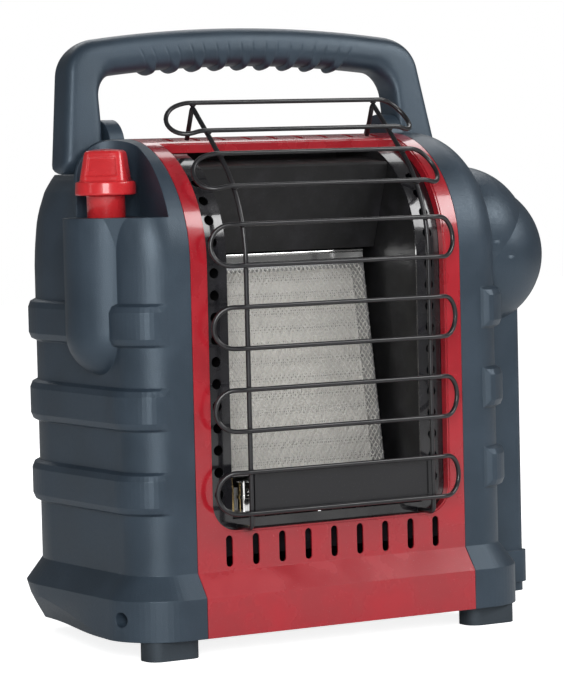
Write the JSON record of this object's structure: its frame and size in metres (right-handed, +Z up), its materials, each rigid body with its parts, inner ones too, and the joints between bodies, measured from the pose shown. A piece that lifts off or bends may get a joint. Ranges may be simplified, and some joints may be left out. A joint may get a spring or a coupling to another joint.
{
  "type": "portable propane heater",
  "caption": "Portable radiant propane heater with a red metal front, wire guard, tilted ceramic burner, red push-and-turn knob, fold-back bail handle and swivel regulator.",
  "frame": {"origin": "on the floor, under the middle of the whole heater's box", "axes": "+X to the user's right when facing the heater's front, +Y from the front to the back, +Z up; the fire front faces -Y"},
  "size_m": [0.3486, 0.198, 0.3814],
  "materials": {
    "housing_plastic": "fine leather-grain moulded texture, blue-grey",
    "red_paint": "glossy baked enamel",
    "knob_red": "polished moulded plastic",
    "black_enamel": "gloss heat-resistant enamel",
    "guard_enamel": "satin black enamel on wire",
    "zinc_steel": "galvanised sheet",
    "bright_steel": "polished stainless sheet",
    "screen_wire": "woven stainless wire",
    "tile_ceramic": "matt honeycomb ceramic",
    "white_ceramic": "glazed insulator",
    "brass": "machined",
    "die_cast": "tumbled die casting",
    "aluminium_pipe": "drawn tube",
    "spring_steel": "bright wire",
    "seal_rubber": "matt",
    "lead_sleeve": "silicone sleeve",
    "case_plastic": "moulded",
    "foot_plastic": "moulded"
  },
  "bodies": {
    "root": {"left_housing": "housing_plastic", "right_housing": "housing_plastic", "front_panel": "red_paint", "rear_panel": "black_enamel", "base_pan": "zinc_steel", "foot_front_left": "foot_plastic", "foot_front_right": "foot_plastic", "foot_rear_left": "foot_plastic", "foot_rear_right": "foot_plastic", "handle_pins": "spring_steel", "guard_loops": "guard_enamel", "guard_uprights": "guard_enamel", "guard_plate": "guard_enamel", "firebox_frame": "black_enamel", "firebox_liner": "black_enamel", "heat_deflector": "black_enamel", "reflector_strip": "bright_steel", "burner_screen": "screen_wire", "ceramic_tile": "tile_ceramic", "burner_plenum": "zinc_steel", "venturi_tube": "zinc_steel", "gas_orifice": "brass", "pilot_bracket": "zinc_steel", "pilot_burner": "bright_steel", "thermocouple": "brass", "spark_electrode": "white_ceramic", "gas_valve": "die_cast", "knob_spring": "spring_steel", "piezo_igniter": "case_plastic", "spark_lead": "lead_sleeve", "burner_pipe": "aluminium_pipe", "pilot_pipe": "aluminium_pipe", "inlet_pipe": "aluminium_pipe", "swivel_fitting": "brass", "swivel_seal": "seal_rubber", "tip_switch": "case_plastic", "rear_screws": "spring_steel", "housing_screws": "spring_steel", "foot_screws": "spring_steel"},
    "handle": {"carry_handle": "housing_plastic"},
    "push": {"push_collar": "case_plastic", "piezo_plunger": "spring_steel"},
    "knob": {"control_knob": "knob_red", "valve_stem": "spring_steel"},
    "regulator": {"regulator_body": "die_cast", "regulator_cover": "die_cast", "cylinder_socket": "brass", "socket_seal": "seal_rubber"},
    "ball": {"tip_ball": "spring_steel"}
  },
  "joints": [
    {"name": "handle_fold", "type": "hinge", "parent": "root", "child": "handle", "pos_m": [-0.02085, 0.00945, 0.308], "axis": [-1, 0, 0], "range_deg": [0, 66]},
    {"name": "knob_push", "type": "slide", "parent": "root", "child": "push", "axis": [0, 0, -1], "range_m": [0, 0.004], "stiffness_N_per_m": 1500, "springref_m": -0.002, "deforming": ["knob_spring"]},
    {"name": "knob_turn", "type": "hinge", "parent": "push", "child": "knob", "pos_m": [-0.14785, -0.03355, 0.278], "axis": [0, 0, 1], "range_deg": [0, 150]},
    {"name": "regulator_swivel", "type": "hinge", "parent": "root", "child": "regulator", "pos_m": [0.14515, 0.01745, 0.241], "axis": [1, 0, 0], "range_deg": [0, 45]},
    {"name": "tip_ball_lift", "type": "slide", "parent": "root", "child": "ball", "axis": [0, 0, 1], "range_m": [0, 0.003]}
  ]
}
